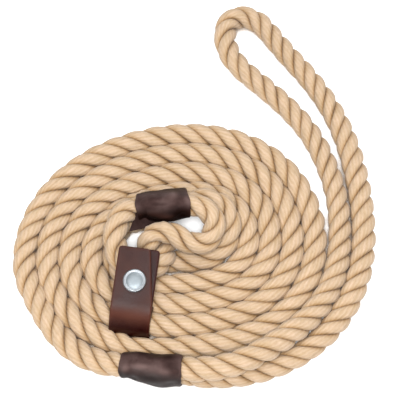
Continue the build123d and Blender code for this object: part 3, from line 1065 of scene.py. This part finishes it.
def strap_mesh():
    """The strap's cross-section carried along its folded path."""
    path = strap_path()
    steps = np.linalg.norm(np.diff(path, axis=0), axis=1)
    along = np.concatenate([[0], np.cumsum(steps)])
    at = np.linspace(0, along[-1], STRAP_RINGS)
    line = np.stack([np.interp(at, along, path[:, i]) for i in range(2)], axis=1)
    for _ in range(STRAP_SMOOTHING):
        line[1:-1] = 0.25 * line[:-2] + 0.5 * line[1:-1] + 0.25 * line[2:]
    tangent = np.gradient(line, axis=0)
    tangent /= np.linalg.norm(tangent, axis=1)[:, None]
    # away from the rope on the front layer, which runs towards the rope
    normal = np.stack([tangent[:, 1], -tangent[:, 0]], axis=1)
    # the front layer's right edge is cut back towards its end
    taper = math.tan(STRAP_TAPER_ANGLE) * np.clip(STRAP_TAB - STRAP_TAPER_FROM - at, 0, None)
    half = STRAP_WIDTH / 2
    outline = np.array(strap_outline())
    ends = np.minimum(at, at[-1] - at)
    round_in = np.clip(1 - ends / STRAP_END_ROUND, 0, 1)
    narrow = STRAP_END_NARROW * (1 - np.sqrt(1 - round_in**2))
    thin = 1 - STRAP_END_THIN * np.clip(1 - ends / STRAP_END_THIN_REACH, 0, 1) ** 2
    past_fold = at - STRAP_TAB
    # wear and a painted highlight in a band along the fold
    fold = FOLD_WEAR_AND_HIGHLIGHT * np.exp(-(((past_fold - FOLD_BAND_PAST) / FOLD_BAND_SPREAD) ** 2))
    end_wear = END_WEAR * np.exp(-ends / WEAR_REACH)
    # painted shade below the fold
    shade = smooth_step((past_fold - FOLD_SHADE_FROM) / FOLD_SHADE_FADE)
    verts, wear_and_highlight, painted_shade = [], [], []
    for i in range(STRAP_RINGS):
        scale = (half - narrow[i] - taper[i] / 2) / half
        for x, y in outline:
            # only the upper face is uneven
            bulge = STRAP_RIPPLE * math.sin(at[i] / (5.3 * MM) + x / (4 * MM)) if y > 0 else 0
            u, v = line[i] + normal[i] * (y * thin[i] + bulge)
            across = x * scale - taper[i] / 2
            verts.append(hinge + along_rope * across + toward_middle * u + up * v)
            edge = EDGE_WEAR * math.exp(-(half - abs(x)) / WEAR_REACH)
            wear_and_highlight.append(min(1, edge + end_wear[i] + fold[i]))
            painted_shade.append(shade[i])
    m = len(outline)
    faces = []
    for i in range(STRAP_RINGS - 1):
        for j in range(m):
            k = (j + 1) % m
            faces.append((i * m + j, (i + 1) * m + j, (i + 1) * m + k, i * m + k))
    faces.append(tuple(range(m)))
    faces.append(tuple((STRAP_RINGS - 1) * m + j for j in reversed(range(m))))
    mesh = mesh_from("stop_strap_leather", [tuple(v) for v in verts], faces, strap_look)
    set_attribute(mesh, "wear_and_highlight", wear_and_highlight)
    set_attribute(mesh, "painted_shade", painted_shade)
    return mesh


strap = link("stop_strap_leather", strap_mesh(), "stop")
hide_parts("stop_strap")


# ---------------------------------------------------------------- rivet

tab_bend = (
    STRAP_FOOT * math.cos(STRAP_FOOT_SLOPE) - RING_OUTER * math.sin(STRAP_FOOT_SLOPE),
    STRAP_FOOT * math.sin(STRAP_FOOT_SLOPE) + RING_OUTER * math.cos(STRAP_FOOT_SLOPE),
)
rivet_across = tab_bend[0] + RIVET_DISTANCE * math.cos(STRAP_TAB_SLOPE)
rivet_up = tab_bend[1] + RIVET_DISTANCE * math.sin(STRAP_TAB_SLOPE)
rivet_foot = hinge + toward_middle * rivet_across + up * rivet_up
rivet_axis = up * math.cos(STRAP_TAB_SLOPE) - toward_middle * math.sin(STRAP_TAB_SLOPE)


def turned(name, profile, material, segments=96):
    """A closed shape turned about the rivet's axis from a profile of (radius, height) points."""
    side = along_rope
    other = rivet_axis.cross(side)
    verts, faces = [], []
    for s in range(segments):
        a = 2 * math.pi * s / segments
        out = side * math.cos(a) + other * math.sin(a)
        verts += [rivet_foot + out * r + rivet_axis * h for r, h in profile]
    m = len(profile)
    for s in range(segments):
        n = (s + 1) % segments
        for j in range(m - 1):
            faces.append((s * m + j, n * m + j, n * m + j + 1, s * m + j + 1))
    faces.append(tuple(s * m for s in reversed(range(segments))))
    faces.append(tuple(s * m + m - 1 for s in range(segments)))
    return mesh_from(name, [tuple(v) for v in verts], faces, material)


def cap_profile():
    """From under the rolled rim, over it, into a shallow groove, and up to the flat middle."""
    points = [(CAP_RADIUS - 0.9 * MM, 0.02 * MM), (CAP_RADIUS - 0.3 * MM, 0.02 * MM)]
    for a in np.radians(np.linspace(-60, 110, 16)):
        out = CAP_RADIUS - CAP_RIM + CAP_RIM * math.cos(a)
        points.append((out, CAP_RIM_HEIGHT + CAP_RIM * math.sin(a)))
    points.append((CAP_RADIUS - 1.15 * MM, 1.08 * MM))
    for f in np.linspace(CAP_MIDDLE, 0.02, 16):
        sunk = 0.35 * MM + 0.21 * MM * (f / CAP_MIDDLE) ** 4
        points.append((f * CAP_RADIUS, CAP_HEIGHT - sunk))
    return points


cap_mesh = turned("rivet_cap_metal", cap_profile(), metal_look)
from_axis = [(v.co - rivet_foot).cross(rivet_axis).length / CAP_RADIUS for v in cap_mesh.vertices]
# where the cap's rim takes its painted highlight
set_attribute(cap_mesh, "rim", smooth_step((np.array(from_axis) - CAP_MIDDLE) / 0.12))
cap = link("rivet_cap_metal", cap_mesh, "stop")
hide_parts("rivet_cap")
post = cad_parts["rivet_post"]
post.data.materials.clear()
post.data.materials.append(metal_look)


# ---------------------------------------------------------------- floor and light

floor_material, floor_tree, floor_shader = new_material("floor_paper")
# painted shade: the floor turns as dark as the rope in the smallest gaps between its turns
paper = ramp(floor_tree, FLOOR_TONES_AND_GAP_SHADE, openness(floor_tree, FLOOR_GAP_SHADE_REACH))
floor_tree.links.new(paper, floor_shader.inputs["Base Color"])
floor_shader.inputs["Roughness"].default_value = 0.9
floor_corners = [
    (x * FLOOR_HALF_SIZE, y * FLOOR_HALF_SIZE, 0) for x, y in ((-1, -1), (1, -1), (1, 1), (-1, 1))
]
floor_mesh = mesh_from("floor", floor_corners, [(0, 1, 2, 3)], floor_material, smooth=False)
floor = bpy.data.objects.new("floor", floor_mesh)
bpy.context.scene.collection.objects.link(floor)

for name, place, diameter, power in LIGHTS:
    light_data = bpy.data.lights.new(name, "AREA")
    light_data.shape = "DISK"
    light_data.size = diameter
    light_data.energy = power
    lamp = bpy.data.objects.new(name, light_data)
    bpy.context.scene.collection.objects.link(lamp)
    lamp.location = place
    lamp.rotation_mode = "QUATERNION"
    lamp.rotation_quaternion = (CAMERA_TARGET - Vector(place)).to_track_quat("-Z", "Y")
    # the key light leaves no bright disc in the rivet's cap
    lamp.visible_glossy = name != "key"

# a studio that is bright overhead and darker towards the horizon
world = bpy.data.worlds.new("studio")
world.use_nodes = True
sky_tree = world.node_tree
direction = sky_tree.nodes.new("ShaderNodeTexCoord").outputs["Generated"]
parts = sky_tree.nodes.new("ShaderNodeSeparateXYZ")
sky_tree.links.new(direction, parts.inputs[0])
sky = ramp(sky_tree, SKY_TONES, parts.outputs[2])
background = sky_tree.nodes["Background"]
sky_tree.links.new(sky, background.inputs["Color"])
background.inputs["Strength"].default_value = 1.0
bpy.context.scene.world = world
bpy.context.scene.view_settings.view_transform = "Standard"
